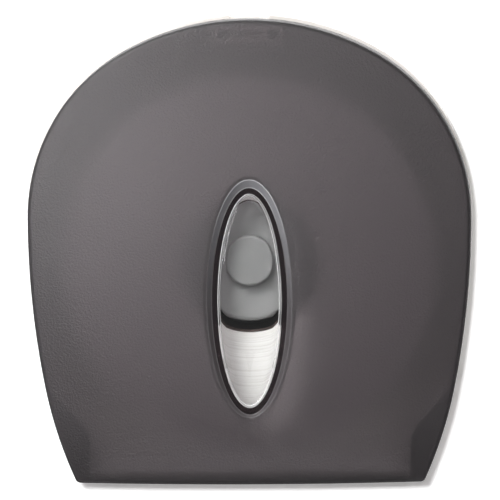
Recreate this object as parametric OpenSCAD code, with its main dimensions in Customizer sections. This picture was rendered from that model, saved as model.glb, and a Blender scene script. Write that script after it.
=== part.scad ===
// Wall dispenser for one large roll of toilet paper: a pale tray on the wall, a smoked cover hinged
// at its foot, a spindle with a turning hub, and a push-button latch at the top.
// +X is right, -Y is out of the wall, +Z is up. The origin is on the wall, amid the
// four wall screws.

/* [Cover] */
// Width of the cover at its widest
cover_w = 270.2; // [262:0.2:278]
// Height of the cover's top above the origin
cover_top = 133.3; // [129:0.1:138]
// Depth of the cover's bottom edge below the origin
cover_bottom = 149.7; // [147:0.1:153]
// Radius of the arch over the top
crown_r = 158; // [152:1:180]
// Radius of the two shoulders
shoulder_r = 114.7; // [108:0.1:122]
// Radius of the nearly straight sides
side_r = 526; // [480:1:620]
// How far round the sides go before the foot begins, degrees
side_sweep = 11.4; // [9:0.1:13]
// Radius of the sides near the foot
foot_r = 259; // [230:1:300]
// Radius of the two bottom corners
corner_r = 4; // [3:0.5:6]
// Radius of the slight bow along the bottom edge
bow_r = 4600; // [3600:100:8000]
// Distance of the cover's back edge from the wall
cover_back = 92; // [86:0.5:96]
// Distance of the middle of the cover's face from the wall
face_front = 136.5; // [134:0.5:142]
// Radius of the domed face
face_r = 1300; // [1100:10:1700]
// Height of the dome's highest point
face_z = -8; // [-20:1:10]
// Wall thickness of the cover
cover_t = 2.5; // [2:0.1:2.9]
// Radius round the edge of the face
edge_r = 3; // [3:0.1:6]
// Lean of the cover's side walls, degrees
cover_draft = 1.2; // [0.5:0.1:2]

/* [Window] */
// Half width of the sight window's recess at the face
recess_x = 25.8; // [25:0.1:30]
// Half height of the recess at the face
recess_z = 72.1; // [71:0.1:78]
// Height of the middle of the recess
recess_mid = -36; // [-44:0.1:-32]
// Half width of the recess floor
floor_x = 23.1; // [22.6:0.1:24]
// Half height of the recess floor
floor_z = 69; // [68.6:0.1:70.2]
// Height of the middle of the recess floor
floor_mid = -37.6; // [-40:0.1:-35]
// Distance of the recess floor from the wall
floor_front = 132.6; // [131.5:0.1:133.4]
// Half width of the clear lens
lens_x = 19.4; // [17:0.1:20]
// Half height of the clear lens
lens_z = 64.8; // [60:0.1:66]
// Height of the middle of the lens
lens_mid = -37.4; // [-40:0.1:-35]
// Thickness of the lens
lens_t = 2.4; // [1.8:0.1:3]
// How far the lens stands proud of the floor
lens_proud = 0.6; // [0.3:0.1:1.2]
// Width of the hidden rim that holds the lens behind the floor
lens_rim = 2.6; // [1.5:0.1:3]
// Thickness of that rim, and of the skirt that carries it
lens_rim_t = 1.2; // [0.8:0.1:1.6]
// Gap round the lens
lens_gap = 0.25; // [0.15:0.05:0.5]

/* [Housing] */
// How far the tray stands proud of the cover all round
housing_proud = 0.2; // [0.1:0.1:2]
// How far the top of the tray's wall stands above the arch of the cover
tray_up = 1.7; // [1:0.1:2.5]
// Thickness of the tray's walls
housing_t = 2.5; // [2:0.1:3]
// Thickness of the plate on the wall
plate_t = 3; // [2.5:0.1:4]
// Gap between the tray's edge and the cover's edge
seam_gap = 0.3; // [0.3:0.05:0.8]
// How far the tray's lip reaches into the cover
lip_reach = 7; // [5:0.5:7]
// Thickness of the lip
lip_t = 2; // [1.6:0.1:2.4]
// Gap between the lip and the cover
lip_gap = 0.6; // [0.5:0.05:0.8]
// Thickness of the ledge that carries the lip
ledge_t = 3; // [2.4:0.1:4]
// How far in the two corner notches reach, from the cover's widest
notch_in = 39.1; // [37:0.1:42]
// Height at which the notches turn outwards
notch_z = -117; // [-122:0.5:-112]
// Slope of the notches' upper edge, degrees
notch_slope = 47.4; // [42:0.5:52]
// Bottom of the tray's walls
housing_bottom = -148; // [-149:0.1:-147]
// Height of the ribs on the plate
rib_h = 7; // [4:0.5:8]
// Thickness of those ribs
rib_t = 2; // [1.5:0.1:3]
// Inner radius of the round rib
ring_rib_r = 62; // [59:1:70]
// Width of the thumb recess in the top
thumb_w = 24.4; // [22:0.1:32]
// Depth of the thumb recess
thumb_depth = 1; // [0.6:0.1:1.2]
// Length of the thumb recess, back from the edge
thumb_l = 34; // [30:1:50]

/* [Wall screws] */
// Distance between the wall screws, sideways
wall_screw_x = 150; // [120:1:160]
// Distance between the wall screws, upwards
wall_screw_z = 150; // [120:1:160]
// Radius of the wall screw holes
wall_screw_r = 2.75; // [2.25:0.25:3.25]
// Radius of the pad round each wall screw
pad_r = 8; // [6:0.5:10]
// Height of that pad on the plate
pad_h = 3; // [1:0.5:4]

/* [Hinge] */
// Distance of the hinge axis from the wall
hinge_y = 85; // [83.5:0.5:86]
// Height of the hinge axis
hinge_z = -143; // [-143.5:0.1:-142]
// Radius of the hinge pins
hinge_pin_r = 2.5; // [2:0.1:3]
// Running clearance on the pins
pin_clearance = 0.08; // [0.05:0.01:0.1]
// Radius of the cover's lugs
lug_r = 6; // [5.5:0.1:6.5]
// Thickness of the lugs at the pin
lug_t = 4; // [3:0.1:5]
// Gap between the tray and the cover's pocket walls
pocket_gap = 1.2; // [1:0.1:1.6]
// Thickness of the pocket walls
pocket_t = 2; // [1.6:0.1:2.4]
// Length of each pin inside the tray
pin_inside = 7; // [5:0.5:9]
// How far each pin shows past its lug
pin_end = 1.5; // [1:0.1:2]

/* [Tear bar] */
// Distance of the cover's bottom flange from the wall
flange_back = 112; // [110:0.5:114]
// Gap between each end of the tear bar and the tray's side wall
tear_end = 2; // [0.5:0.5:8]
// Width of the tear bar's plain part
tear_w = 10.5; // [9:0.5:10.5]
// Thickness of the tear bar
tear_t = 1.2; // [0.8:0.1:1.6]
// Pitch of the teeth
tooth_pitch = 4; // [3:0.5:6]
// Length of the teeth
tooth_l = 3; // [2:0.2:4]
// Number of rivets in the tear bar
rivets = 4; // [2:1:6]
// Radius of the rivet shanks
rivet_r = 1.6; // [1.2:0.1:2]
// Radius of the rivet heads
rivet_head_r = 3; // [2.4:0.1:4]
// Height of the rivet heads
rivet_head_h = 1; // [0.8:0.1:1.4]

/* [Spindle] */
// Height of the spindle's axis above the origin
spindle_z = -13.4; // [-15:0.1:-10]
// Radius of the post's flange
post_flange_r = 30; // [28:0.5:32]
// Thickness of the post's flange
post_flange_t = 4; // [3:0.5:5]
// Radius of the post
post_r = 12; // [11:0.5:13]
// Where the post steps down to the axle, from the wall
axle_back = 78; // [70:1:84]
// Radius of the axle
axle_r = 7; // [6:0.1:8]
// Running clearance in the bush
axle_clearance = 0.06; // [0.03:0.01:0.1]
// Outer radius of the bush
bush_r = 10; // [9:0.5:11]
// Circle radius of the post's screws
post_screw_circle = 22; // [20:0.5:23]
// Radius of the post's screws
post_screw_r = 1.8; // [1.5:0.1:2]
// Radius of the post's screw heads
post_screw_head_r = 3.6; // [3:0.1:4]
// Height of the post's screw heads
post_screw_head_h = 2; // [1.6:0.1:2.4]
// Radius of the hub's drum
hub_r = 37; // [34:0.5:38]
// Wall thickness of the hub
hub_t = 2.5; // [2:0.1:3]
// Thickness of the hub's front disc
hub_face_t = 4; // [3:0.5:5]
// Radius round the hub's front edge
hub_edge_r = 3; // [1:0.5:3.5]
// Radius of the hub's flange behind the roll
hub_flange_r = 55; // [50:1:58]
// Thickness of that flange
hub_flange_t = 2.5; // [2:0.1:3]
// Gap between the hub's flange and the roll
roll_gap = 1; // [0.5:0.1:2]
// How far the hub reaches past the roll
hub_past_roll = 5; // [4:0.5:7]
// Radius of the cap on the hub
cap_r = 15.5; // [14.5:0.5:17]
// Wall thickness of the cap
cap_t = 2; // [1.5:0.1:2.5]
// Height of the cap
cap_h = 7; // [6:0.5:8]
// Radius of the washer on the axle's end
washer_r = 9; // [8.5:0.1:9.5]
// Thickness of the washer
washer_t = 1; // [0.8:0.1:1.5]
// End play of the bush under the washer
end_play = 0.3; // [0.2:0.05:0.5]
// Radius of the axle screw
axle_screw_r = 2; // [1.5:0.1:3]
// Length of the axle screw
axle_screw_l = 14; // [10:1:20]
// Radius of the axle screw's head
axle_screw_head_r = 4.5; // [3.5:0.1:6]
// Height of the axle screw's head
axle_screw_head_h = 2.6; // [2:0.1:3]

/* [Roll] */
// Gap between the full paper roll and the latch case
roll_top_gap = 21; // [18:0.1:26]
// Width of the roll
roll_w = 89; // [84:1:90]
// Distance of the roll's back from the wall
roll_back = 18; // [17:0.5:19]
// Inner diameter of the roll's core
core_d = 80; // [76:0.5:88]
// Wall thickness of the core
core_t = 1.5; // [1:0.1:2.5]
// Clearance under the top of the core, where it hangs on the hub
core_clearance = 0.3; // [0.1:0.05:0.5]

/* [Latch] */
// Width of the latch case
case_w = 41.4; // [38:0.2:46]
// Height of the latch case
case_h = 8.8; // [8.6:0.1:9.4]
// Gap over the latch case, under the cover's top
case_top_gap = 0.5; // [0.4:0.1:0.8]
// Distance of the case's back from the wall
case_back = 100.5; // [100:0.5:102]
// Wall thickness of the case
case_t = 1.6; // [1.2:0.1:2]
// Gap between the case and the cover's face
case_face_gap = 0.3; // [0.2:0.05:0.5]
// Distance between the case's two inner walls, middle to middle
case_rib_w = 21.2; // [20:0.2:23]
// Distance of the latch pivot from the wall
pivot_y = 116; // [114:0.5:118]
// Radius of the latch pivot pin
pivot_r = 1.5; // [1.2:0.1:1.8]
// Width of the latch lever
lever_w = 8; // [6:0.5:9]
// Thickness of the latch lever
lever_t = 3.6; // [3:0.1:4]
// Length of the hook's head
hook_l = 6; // [5:0.5:7]
// Gap between the hook and the ledge it catches behind
hook_gap = 0.4; // [0.3:0.1:0.6]
// How far the hook overlaps the ledge
hook_bite = 2.7; // [2:0.1:2.9]
// Width of the push button
button_w = 14; // [12:0.5:16]
// Length of the push button, back from the ledge
button_l = 14; // [12:0.5:16]
// How far the button stands over the thumb recess
button_proud = 1.2; // [0.9:0.1:1.6]
// Gap round the button
button_gap = 0.3; // [0.2:0.05:0.5]
// Width of the button's two wings
wing_w = 2.5; // [2:0.1:3]
// Thickness of the wings
wing_t = 1.4; // [1.2:0.1:1.6]
// Thickness of the spring under the button
leaf_t = 0.5; // [0.4:0.1:0.8]
// Width of that spring
leaf_w = 8; // [6:0.5:10]
// Length of the button's foot on that spring
foot_l = 5; // [4:0.5:6]
// Distance of the spring's screw from the wall
leaf_screw_y = 58; // [56:0.5:60]
// Radius of the boss for that screw
leaf_boss_r = 5; // [4:0.5:6]
// Radius of that screw
leaf_screw_r = 1.5; // [1.2:0.1:1.8]
// Radius of that screw's head
leaf_screw_head_r = 3; // [2.6:0.1:3.6]
// Height of that screw's head
leaf_screw_head_h = 1.6; // [1.2:0.1:2]
// Wire of the spring on the latch pivot
wire_d = 0.8; // [0.6:0.1:0.9]
// Turns of the spring on the latch pivot
wire_turns = 3; // [2:1:4]
// Radius of the two screws that hold the case
case_screw_r = 1.2; // [1:0.1:1.4]
// Length of those screws
case_screw_l = 12; // [8:1:16]
// Radius of the bosses for those screws
case_boss_r = 2.5; // [2.2:0.1:2.7]

/* [Hidden] */
$fn = 96;

pale = [0.93, 0.91, 0.89];
smoke = [0.26, 0.25, 0.26];
grey = [0.55, 0.56, 0.58];
dark = [0.14, 0.14, 0.15];
steel = [0.75, 0.76, 0.78];
kraft = [0.72, 0.60, 0.45];
paper = [0.97, 0.97, 0.95];
clear = [0.80, 0.84, 0.86];

// A length that is past everything, for cuts that go right through.
beyond = 600;
// How deep a moulded rib or boss runs into the wall that it grows from.
root = 1.2;

// ---- Outline of the cover: five arcs a side, each tangent to the next -------------------------

// The arch turns into the shoulder where both have the same centre line.
crown_c = [0, cover_top - crown_r];
crown_sweep = asin((cover_w / 2 - shoulder_r) / (crown_r - shoulder_r));
shoulder_c = crown_c + (crown_r - shoulder_r) * [sin(crown_sweep), cos(crown_sweep)];
side_c = shoulder_c - [side_r - shoulder_r, 0];
foot_c = side_c + (side_r - foot_r) * [cos(side_sweep), -sin(side_sweep)];
bow_c = [0, bow_r - cover_bottom];

// Lower right point at distance ra from a and rb from b.
function meet(a, ra, b, rb) =
    let (d = norm(b - a), u = (b - a) / d, l = (d * d + ra * ra - rb * rb) / (2 * d))
    a + l * u + sqrt(ra * ra - l * l) * [u.y, -u.x];

corner_c = meet(foot_c, foot_r - corner_r, bow_c, bow_r - corner_r);
function bearing(from, to) = atan2(to.y - from.y, to.x - from.x);
foot_end = bearing(foot_c, corner_c);
corner_end = bearing(bow_c, corner_c);

// Points along an arc, each with the outward direction there: [x, z, nx, nz].
function arc(c, r, a0, a1, n) =
    [for (i = [0:n - 1]) let (a = a0 + (a1 - a0) * i / n)
        [c.x + r * cos(a), c.y + r * sin(a), cos(a), sin(a)]];

// Right half, from the top to the bottom; fine is how many points the long arcs get.
function half_outline(fine) = concat(
    arc(crown_c, crown_r, 90, 90 - crown_sweep, 3 * fine),
    arc(shoulder_c, shoulder_r, 90 - crown_sweep, 0, 6 * fine),
    arc(side_c, side_r, 0, -side_sweep, 3 * fine),
    arc(foot_c, foot_r, -side_sweep, foot_end, 3 * fine),
    arc(corner_c, corner_r, foot_end, corner_end, 4),
    arc(bow_c, bow_r, corner_end, -90, 3 * fine),
    [[0, -cover_bottom, 0, -1]]);

function mirrored(p) = [-p[0], p[1], -p[2], p[3]];
function outline(fine) =
    let (h = half_outline(fine), n = len(h))
    concat(h, [for (i = [n - 2:-1:1]) mirrored(h[i])]);

// The same outline as a flat shape, moved in by inset.
module cover_shape(inset) {
    polygon([for (p = outline(5)) [p[0] - inset * p[2], p[1] - inset * p[3]]]);
}

// ---- Helpers -----------------------------------------------------------------------------------

// A flat shape in X and Z, raised from one distance off the wall to another.
module slab(near, far) {
    translate([0, -near, 0]) rotate([90, 0, 0]) linear_extrude(far - near) children();
}

// A round bar that points away from the wall.
module bar(r, near, far, x = 0, z = 0) {
    translate([x, -near, z]) rotate([90, 0, 0]) cylinder(r = r, h = far - near);
}

// A box by its middle in X, its two distances from the wall and its two heights.
module block(w, near, far, low, high, x = 0) {
    translate([x - w / 2, -far, low]) cube([w, far - near, high - low]);
}

// A round bar along X.
module pin(r, x0, x1, y, z) {
    translate([x0, -y, z]) rotate([0, 90, 0]) cylinder(r = r, h = x1 - x0);
}

module on_spindle() {
    translate([0, 0, spindle_z]) children();
}

module both_sides() {
    children();
    mirror([1, 0, 0]) children();
}

// Everything between the two corner notches, moved in by inset.
notch_x = cover_w / 2 - notch_in;
notch_turn = (1 - sin(notch_slope)) / cos(notch_slope);
module between_notches(inset) {
    x = notch_x - inset;
    z = notch_z + inset * notch_turn;
    out = beyond * [cos(notch_slope), sin(notch_slope)];
    polygon([[-x, -beyond], [x, -beyond], [x, z], [x, z] + out, [-x - out.x, z + out.y], [-x, z]]);
}

// ---- Face of the cover and its window ------------------------------------------------------------

// Distance from the wall of a dome over the point p, inset below its surface.
function dome(p, front, mid, inset) =
    front - face_r + sqrt(pow(face_r - inset, 2) - p.x * p.x - pow(p.y - mid, 2));
function face_at(p, inset) = dome(p, face_front, face_z, inset);
function floor_at(p, inset) = dome(p, floor_front, recess_mid, inset);
function oval(a, x, z, mid) = [x * cos(a), mid + z * sin(a)];

module face_ball(inset) {
    translate([0, face_r - face_front, face_z]) sphere(r = face_r - inset, $fn = 200);
}
module floor_ball(inset) {
    translate([0, face_r - floor_front, recess_mid]) sphere(r = face_r - inset, $fn = 200);
}

hole_x = lens_x + lens_gap;
hole_z = lens_z + lens_gap;
fillet_steps = 5;
face_steps = 5;
inner_steps = 3;

// One slice through the cover's wall at an outline point: from its back edge over the rounded edge
// and the face to the window, and back along the inside. Each point is [x, z, distance].
function slice(e) =
    let (p = [e[0], e[1]], n = [e[2], e[3]],
         a = bearing([0, recess_mid], p),
         lean = tan(cover_draft) * (face_at(p, edge_r) - cover_back),
         c = p - (lean + edge_r) * n,
         depth = face_at(c, edge_r),
         last = acos((c - [0, face_z]) * n / (face_r - edge_r)),
         start = c + edge_r * cos(last) * n,
         rim = oval(a, recess_x, recess_z, recess_mid),
         foot = oval(a, floor_x, floor_z, floor_mid),
         hole = oval(a, hole_x, hole_z, lens_mid),
         foot_in = oval(a, floor_x + cover_t, floor_z + cover_t, floor_mid),
         rim_in = oval(a, recess_x + cover_t, recess_z + cover_t, recess_mid),
         start_in = c + (edge_r - cover_t) * cos(last) * n)
    concat(
        [[p.x, p.y, cover_back]],
        [for (i = [0:fillet_steps]) let (b = last * i / fillet_steps, q = c + edge_r * cos(b) * n)
            [q.x, q.y, depth + edge_r * sin(b)]],
        [for (i = [1:face_steps]) let (q = start + (rim - start) * i / face_steps)
            [q.x, q.y, face_at(q, 0)]],
        [[foot.x, foot.y, floor_at(foot, 0)], [hole.x, hole.y, floor_at(hole, 0)],
         [hole.x, hole.y, floor_at(hole, cover_t)], [foot_in.x, foot_in.y, floor_at(foot_in, cover_t)]],
        [for (i = [0:inner_steps]) let (q = rim_in + (start_in - rim_in) * i / inner_steps)
            [q.x, q.y, face_at(q, cover_t)]],
        [let (q = c + (edge_r - cover_t) * n) [q.x, q.y, depth],
         let (q = p - cover_t * n) [q.x, q.y, cover_back]]);

module cover_skin() {
    slices = [for (e = outline(3)) slice(e)];
    m = len(slices);
    k = len(slices[0]);
    points = [for (s = slices, q = s) [q[0], -q[2], q[1]]];
    faces = [for (i = [0:m - 1], j = [0:k - 1])
        let (a = i * k + j, b = i * k + (j + 1) % k,
             c = ((i + 1) % m) * k + (j + 1) % k, d = ((i + 1) % m) * k + j)
        each [[a, c, b], [a, d, c]]];
    polyhedron(points, faces, convexity = 6);
}

// ---- Housing -------------------------------------------------------------------------------------

wall_front = cover_back - seam_gap;
ledge_back = wall_front - ledge_t;
lip_front = cover_back + lip_reach;
lip_out = cover_t + lip_gap;
lip_in = lip_out + lip_t;
wall_in = housing_t - housing_proud;
side_in = notch_x - housing_t;
housing_top = cover_top + housing_proud;
thumb_floor = housing_top - thumb_depth;
skin_under = housing_top - housing_t;
roll_front = roll_back + roll_w;
hub_front = roll_front + hub_past_roll;
hub_flange_front = roll_back - roll_gap;
// The case clears the lean of the cover's top wall and its arch.
case_top = cover_top - cover_t - tan(cover_draft) * (face_front - cover_back)
    - pow(case_w / 2, 2) / (2 * crown_r) - case_top_gap;
case_low = case_top - case_h;
pivot_z = case_low + case_h / 2;
case_front = face_at([case_w / 2, case_top], cover_t) - case_face_gap;
case_screw_x = (case_rib_w + case_w) / 4;

// The tray's shape with its outer face moved in by inset, and its notched sides by side_inset.
module tray_shape(inset, side_inset) {
    intersection() {
        cover_shape(inset);
        between_notches(side_inset);
        translate([-beyond / 2, housing_bottom]) square([beyond, beyond]);
    }
}

// The tray's outer shape, which stands higher than the cover over the top and the shoulders.
module tray_outer() {
    intersection() {
        hull() for (up = [0, tray_up]) translate([0, up]) cover_shape(-housing_proud);
        between_notches(0);
        translate([-beyond / 2, housing_bottom]) square([beyond, beyond]);
    }
}

// The tray's hollow, which runs out through the open bottom between the side walls.
module tray_hollow(inset) {
    intersection() {
        union() {
            cover_shape(inset);
            translate([-side_in, housing_bottom - cover_t])
                square([2 * side_in, notch_z - housing_bottom]);
        }
        between_notches(housing_t);
    }
}

button_front = ledge_back - hook_gap;
button_back = button_front - button_l;
wing_top = skin_under - button_gap;
leaf_top = wing_top - wing_t - button_gap;

module back_housing() {
    color(pale) difference() {
        union() {
            slab(0, plate_t) tray_outer();
            slab(0, wall_front) difference() {
                tray_outer();
                tray_hollow(wall_in);
            }
            slab(ledge_back, wall_front) difference() {
                tray_outer();
                tray_hollow(lip_in);
            }
            slab(ledge_back, lip_front) difference() {
                tray_shape(lip_out, 0);
                tray_hollow(lip_in);
            }
            // Ribs that stiffen the plate: a ring round the spindle and spokes out to the walls.
            slab(plate_t, plate_t + rib_h) translate([0, spindle_z]) difference() {
                circle(r = ring_rib_r + rib_t);
                circle(r = ring_rib_r);
            }
            slab(plate_t, plate_t + rib_h) intersection() {
                tray_shape(wall_in - root, housing_t - root);
                translate([0, spindle_z]) for (a = [0:90:270]) rotate(a)
                    translate([ring_rib_r + rib_t / 2, -rib_t / 2]) square([beyond, rib_t]);
            }
            for (x = [-1, 1], z = [-1, 1])
                bar(pad_r, 0, plate_t + pad_h, x * wall_screw_x / 2, z * wall_screw_z / 2);
            // Bosses for the hinge pins, and for the screw of the button's spring.
            both_sides() pin(lug_r, notch_x - pin_inside, notch_x, hinge_y, housing_bottom + lug_r);
            translate([0, -leaf_screw_y, leaf_top])
                cylinder(r = leaf_boss_r, h = skin_under + root - leaf_top);
        }
        // Thumb recess with a shallow dip behind it, and the button's hole in the top.
        block(thumb_w, wall_front - thumb_l, beyond, thumb_floor, beyond);
        block(thumb_w, -root, beyond, housing_top, beyond);
        block(button_w + 2 * button_gap, button_back - button_gap, button_front + button_gap,
              skin_under - root, beyond);
        for (x = [-1, 1], z = [-1, 1])
            bar(wall_screw_r, -root, beyond, x * wall_screw_x / 2, z * wall_screw_z / 2);
        on_spindle() for (a = [45:90:315]) rotate([0, a, 0])
            bar(post_screw_r, -root, beyond, post_screw_circle);
        both_sides() pin(hinge_pin_r, notch_x - pin_inside - root, notch_x + root, hinge_y, hinge_z);
        translate([0, -leaf_screw_y, leaf_top - root])
            cylinder(r = leaf_screw_r, h = skin_under - leaf_top + root);
    }
}

module button_spring() {
    near = leaf_screw_y - leaf_boss_r;
    far = button_back + foot_l;
    color(steel) difference() {
        block(leaf_w, near, far, leaf_top - leaf_t, leaf_top);
        translate([0, -leaf_screw_y, leaf_top - 2 * leaf_t]) cylinder(r = leaf_screw_r, h = 3 * leaf_t);
    }
}

module button_spring_screw() {
    low = leaf_top - leaf_t;
    color(steel) translate([0, -leaf_screw_y, low]) {
        cylinder(r = leaf_screw_r, h = skin_under - low - leaf_t);
        mirror([0, 0, 1]) cylinder(r = leaf_screw_head_r, h = leaf_screw_head_h);
    }
}

// ---- Spindle ---------------------------------------------------------------------------------------

post_flange_front = plate_t + post_flange_t;
axle_front = hub_front + end_play;
bush_back = axle_back + end_play;

module spindle_post() {
    color(grey) on_spindle() difference() {
        union() {
            bar(post_flange_r, plate_t, post_flange_front);
            bar(post_r, plate_t, axle_back);
            bar(axle_r, plate_t, axle_front);
        }
        for (a = [45:90:315]) rotate([0, a, 0])
            bar(post_screw_r, 0, beyond, post_screw_circle);
        bar(axle_screw_r, axle_front - axle_screw_l, beyond);
    }
}

module spindle_screws() {
    color(steel) on_spindle() for (a = [45:90:315]) rotate([0, a, 0]) {
        bar(post_screw_r, plate_t / 3, post_flange_front, post_screw_circle);
        bar(post_screw_head_r, post_flange_front, post_flange_front + post_screw_head_h, post_screw_circle);
    }
}

module core_hub() {
    boss_r = bush_r + hub_t;
    flange_back = hub_flange_front - hub_flange_t;
    inner_r = hub_r - hub_t;
    disc_back = hub_front - hub_face_t;
    // Half section: radius, distance from the wall. It is turned round the axle.
    color(grey) on_spindle() rotate([90, 0, 0]) rotate_extrude() {
        translate([inner_r, flange_back]) square([hub_flange_r - inner_r, hub_flange_t]);
        translate([inner_r, flange_back]) square([hub_t, hub_front - hub_edge_r - flange_back]);
        translate([bush_r, disc_back]) square([hub_r - hub_edge_r - bush_r, hub_face_t]);
        translate([bush_r, disc_back]) square([hub_r - bush_r, hub_face_t - hub_edge_r]);
        translate([bush_r, bush_back]) square([boss_r - bush_r, hub_front - bush_back]);
        translate([hub_r - hub_edge_r, hub_front - hub_edge_r]) intersection() {
            circle(r = hub_edge_r);
            square(hub_edge_r);
        }
    }
}

module hub_bush() {
    color(dark) on_spindle() difference() {
        bar(bush_r, bush_back, hub_front);
        bar(axle_r + axle_clearance, axle_back, beyond);
    }
}

module hub_cap() {
    cap_front = hub_front + cap_h;
    color(grey) on_spindle() difference() {
        union() {
            bar(cap_r, hub_front, cap_front - cap_t);
            bar(cap_r - cap_t, hub_front, cap_front);
            translate([0, -(cap_front - cap_t), 0]) rotate([90, 0, 0])
                rotate_extrude() translate([cap_r - cap_t, 0]) intersection() {
                    circle(r = cap_t);
                    square(cap_t);
                }
        }
        bar(cap_r - cap_t, 0, cap_front - cap_t);
    }
}

module axle_washer() {
    color(steel) on_spindle() difference() {
        bar(washer_r, axle_front, axle_front + washer_t);
        bar(axle_screw_r, 0, beyond);
    }
}

module axle_screw() {
    head = axle_front + washer_t;
    color(steel) on_spindle() {
        bar(axle_screw_r, axle_front - axle_screw_l, head);
        bar(axle_screw_head_r, head, head + axle_screw_head_h);
    }
}

// ---- Roll: it hangs on the hub, so its axis is lower by the play inside the core ------------------

roll_z = spindle_z + hub_r + core_clearance - core_d / 2;
roll_r = case_low - roll_top_gap - roll_z;

module ring(outer, inner, near, far) {
    difference() {
        bar(outer, near, far, 0, roll_z);
        bar(inner, near - root, far + root, 0, roll_z);
    }
}

module roll_core() {
    color(kraft) ring(core_d / 2 + core_t, core_d / 2, roll_back, roll_front);
}

module paper_roll() {
    color(paper) ring(roll_r, core_d / 2 + core_t, roll_back, roll_front);
}

// ---- Hinge pins ------------------------------------------------------------------------------------

lug_near = notch_x + pocket_gap;

module hinge_pin() {
    pin(hinge_pin_r, notch_x - pin_inside, lug_near + lug_t + pin_end, hinge_y, hinge_z);
}
module hinge_pin_right() {
    color(steel) hinge_pin();
}
module hinge_pin_left() {
    color(steel) mirror([1, 0, 0]) hinge_pin();
}

// ---- Cover -----------------------------------------------------------------------------------------

pocket_back = cover_back + pocket_t;
teeth = floor(2 * (notch_x - tear_end) / tooth_pitch);
bar_l = teeth * tooth_pitch;
// The bar's seat clears the bow and the lean of the cover's bottom wall.
seat_far = flange_back + tear_w;
flange_top = -cover_bottom + cover_t + pow(bar_l / 2, 2) / (2 * bow_r)
    + tan(cover_draft) * (seat_far - cover_back);
tear_back = flange_back - tooth_l;
tear_top = flange_top + tear_t;

function rivet_x(i) = (i - (rivets - 1) / 2) * bar_l / rivets;
rivet_y = flange_back + tear_w / 2;

// The inside of the cover, to the middle of its walls: what grows from the walls is cut to it.
module inside_cover() {
    intersection() {
        slab(0, beyond / 2) cover_shape(root);
        face_ball(root);
    }
}

module front_cover() {
    color(smoke) difference() {
        union() {
            cover_skin();
            intersection() {
                inside_cover();
                union() {
                    // Pocket walls in the two bottom corners, and the plates that close them behind.
                    slab(cover_back, beyond / 2) difference() {
                        between_notches(-pocket_gap - pocket_t);
                        between_notches(-pocket_gap);
                    }
                    slab(cover_back, pocket_back) difference() {
                        translate([-beyond / 2, -beyond]) square([beyond, 2 * beyond]);
                        between_notches(-pocket_gap);
                    }
                    for (x = [-case_screw_x, case_screw_x])
                        bar(case_boss_r, case_back + case_t, face_front, x, pivot_z);
                    // Flat seat for the tear bar.
                    block(bar_l, flange_back, seat_far, -beyond / 2, flange_top);
                }
            }
            both_sides() {
                pin(lug_r, lug_near, lug_near + lug_t, hinge_y, hinge_z);
                block(lug_t, hinge_y, cover_back + root, hinge_z - lug_r, hinge_z + lug_r,
                      lug_near + lug_t / 2);
            }
        }
        // The bottom flange stands back between the pocket walls, so that the paper can pass.
        block(2 * lug_near, 0, flange_back, -beyond / 2, notch_z);
        both_sides()
            pin(hinge_pin_r + pin_clearance, lug_near - root, lug_near + lug_t + root, hinge_y, hinge_z);
        for (x = [-case_screw_x, case_screw_x])
            bar(case_screw_r, case_back, case_back + case_screw_l, x, pivot_z);
        for (i = [0:rivets - 1])
            translate([rivet_x(i), -rivet_y, -beyond]) cylinder(r = rivet_r, h = beyond + flange_top + root);
    }
}

// The lens's oval, moved in by inset, from the wall out.
module lens_oval(inset) {
    slab(0, beyond / 3) polygon([for (i = [0:71]) oval(i * 5, lens_x - inset, lens_z - inset, lens_mid)]);
}

// A pane with a skirt that goes through the cover's floor to a rim behind it.
module window_lens() {
    rim_front = cover_t + lens_gap;
    color(clear) difference() {
        intersection() {
            union() {
                lens_oval(0);
                intersection() {
                    lens_oval(-lens_rim);
                    floor_ball(rim_front);
                }
            }
            floor_ball(-lens_proud);
        }
        intersection() {
            lens_oval(lens_rim_t);
            floor_ball(lens_t - lens_proud);
        }
        floor_ball(rim_front + lens_rim_t);
    }
}

module tear_bar() {
    // One outline: the plain strip, then a tooth at a time along its back edge.
    tip = -tear_back;
    base = -flange_back;
    color(dark) difference() {
        translate([0, 0, flange_top]) linear_extrude(tear_t)
            polygon(concat([[bar_l / 2, base - tear_w], [-bar_l / 2, base - tear_w]],
                [for (i = [0:2 * teeth]) [(i - teeth) * tooth_pitch / 2, i % 2 == 0 ? base : tip]]));
        for (i = [0:rivets - 1])
            translate([rivet_x(i), -rivet_y, -beyond]) cylinder(r = rivet_r, h = beyond);
    }
}

module tear_bar_rivets() {
    color(steel) for (i = [0:rivets - 1]) translate([rivet_x(i), -rivet_y, 0]) {
        translate([0, 0, flange_top - cover_t]) cylinder(r = rivet_r, h = tear_t + cover_t);
        translate([0, 0, tear_top]) cylinder(r = rivet_head_r, h = rivet_head_h);
    }
}

// ---- Latch -----------------------------------------------------------------------------------------

catch_under = cover_top - lip_in;
hook_back = button_front - hook_l;
hook_top = catch_under + hook_bite;
arm_top = pivot_z + lever_t / 2;
arm_low = pivot_z - lever_t / 2;
lever_boss_r = pivot_r + 1;
slot_w = lever_w + 1;
// The lever's arm dips through the case's floor from here back, when it is pressed.
slot_front = pivot_y - 2 * lever_boss_r;

module lock_case() {
    color(pale) difference() {
        union() {
            difference() {
                block(case_w, case_back, case_front, case_low, case_top);
                block(case_w - 2 * case_t, case_back + case_t, beyond, case_low + case_t, case_top - case_t);
            }
            for (s = [-1, 1])
                block(case_t, case_back, case_front, case_low, case_top, s * case_rib_w / 2);
        }
        // The lever's way out at the back, the pivot pin and the two screws.
        block(slot_w, 0, slot_front, case_low - case_t, case_top - case_t);
        pin(pivot_r, -case_rib_w / 2 - case_t, case_rib_w / 2 + case_t, pivot_y, pivot_z);
        for (x = [-case_screw_x, case_screw_x])
            bar(case_screw_r, 0, case_front, x, pivot_z);
    }
}

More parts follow.
